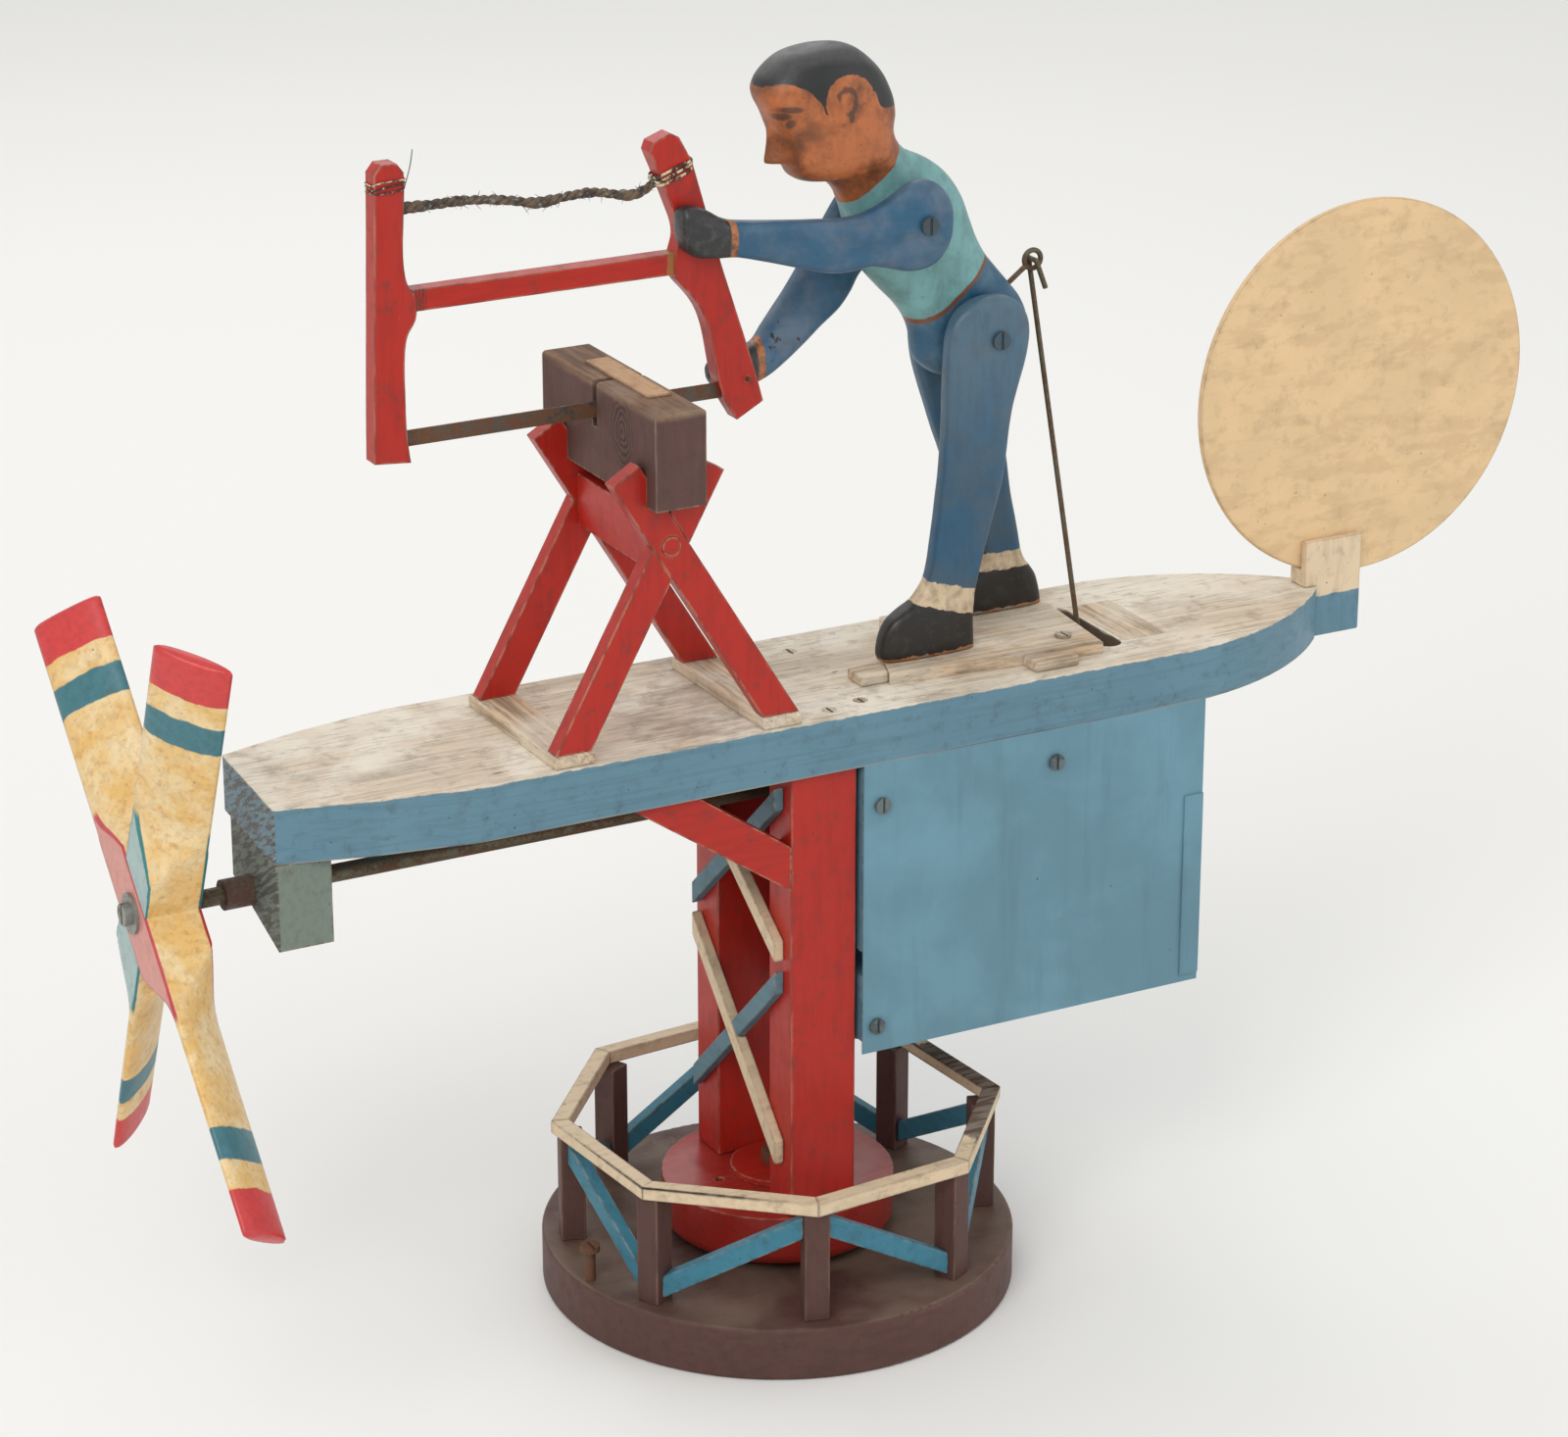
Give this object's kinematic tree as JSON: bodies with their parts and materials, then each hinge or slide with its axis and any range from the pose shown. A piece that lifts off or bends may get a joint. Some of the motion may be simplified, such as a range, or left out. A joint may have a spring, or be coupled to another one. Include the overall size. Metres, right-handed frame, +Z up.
{
  "type": "whirligig",
  "caption": "Wind-driven whirligig: a four-bladed propeller turns a cranked shaft that rocks a carved sawyer and bow saw over a log, on a swivelling finned deck and railed round base.",
  "frame": {"origin": "centre of the base disc's flat underside, on the swivel axis", "axes": "+Z up along the swivel axis; +X along the deck from propeller to tail vane; -Y towards the near cover and the figure's right arm side"},
  "size_m": [0.7149, 0.2244, 0.58],
  "materials": {
    "brown": "matt brown-maroon paint on wood",
    "cream": "worn cream paint on wood",
    "blue": "satin muted blue paint on wood",
    "red": "satin red paint on wood",
    "bare": "weathered bare wood",
    "greygreen": "worn grey-green paint on wood",
    "blade": "aged cream-yellow gloss paint on wood",
    "figure": "satin paint on carved wood",
    "limb": "satin blue paint on carved wood",
    "sheet": "muted blue paint on thin sheet",
    "tan": "pale tan paint on thin board",
    "steel": "dull steel, rusted",
    "rope": "dark twisted cord"
  },
  "bodies": {
    "base": {"base_disc": "brown", "base_plugs": "brown", "base_screws": "steel", "gallery_rails": "cream", "gallery_stanchions": "brown", "gallery_braces": "blue", "pivot_bolt": "steel", "pivot_nut": "steel", "thrust_washer": "steel"},
    "turntable": {"bearing_block": "greygreen", "bearing_tube": "steel", "cover_screws": "steel", "deck": "blue", "deck_inlay": "bare", "deck_screws": "steel", "deck_stays": "red", "far_cover": "sheet", "far_leg": "limb", "far_post": "red", "foot_board": "bare", "foot_stops": "bare", "horse_crossbar": "red", "horse_dowels": "red", "horse_legs_falling": "red", "horse_legs_rising": "red", "horse_plates": "bare", "lattice_blue": "blue", "lattice_cream": "cream", "log": "brown", "log_patch": "bare", "lower_spacer": "blue", "near_cover": "sheet", "near_leg": "limb", "near_post": "red", "rear_bearing": "blue", "rear_cleat": "blue", "red_washer": "red", "tail_block": "blue", "tail_vane": "tan", "turntable_disc": "red", "upper_spacer": "blue"},
    "propeller": {"blade_pair_a": "blade", "blade_pair_b": "blade", "propeller_screw": "steel", "propeller_washer": "steel", "drive_shaft": "steel", "crank": "steel"},
    "torso": {"torso": "figure", "screw_eye": "steel", "limb_screws": "steel"},
    "saw_and_arms": {"near_arm": "limb", "far_arm": "limb", "saw_front_upright": "red", "saw_rear_upright": "red", "saw_stretcher": "red", "saw_blade": "steel", "saw_cord": "rope", "saw_bindings": "steel", "saw_nail": "steel"},
    "rod": {"connecting_rod": "steel"}
  },
  "joints": [
    {"name": "swivel", "type": "hinge", "parent": "base", "child": "turntable", "pos_m": [0, 0, 0.0524], "axis": [0, 0, 1], "continuous": true},
    {"name": "propeller_spin", "type": "hinge", "parent": "turntable", "child": "propeller", "pos_m": [-0.296, 0, 0.2435], "axis": [1, 0, 0], "continuous": true},
    {"name": "torso_rock", "type": "hinge", "parent": "turntable", "child": "torso", "pos_m": [0.103, 0.008, 0.442], "axis": [0, 1, 0], "range_deg": [-11, 11]},
    {"name": "saw_swing", "type": "hinge", "parent": "torso", "child": "saw_and_arms", "pos_m": [0.064, 0.008, 0.5], "axis": [0, 1, 0], "range_deg": [-14.5, 14.5]},
    {"name": "rod_swing", "type": "hinge", "parent": "torso", "child": "rod", "pos_m": [0.134, 0.008, 0.469], "axis": [0, 1, 0], "range_deg": [-10, 10]}
  ],
  "couplings": [
    {"joint": "saw_swing", "follows": "torso_rock", "ratio": -1.274},
    {"joint": "rod_swing", "follows": "torso_rock", "ratio": -0.881}
  ]
}
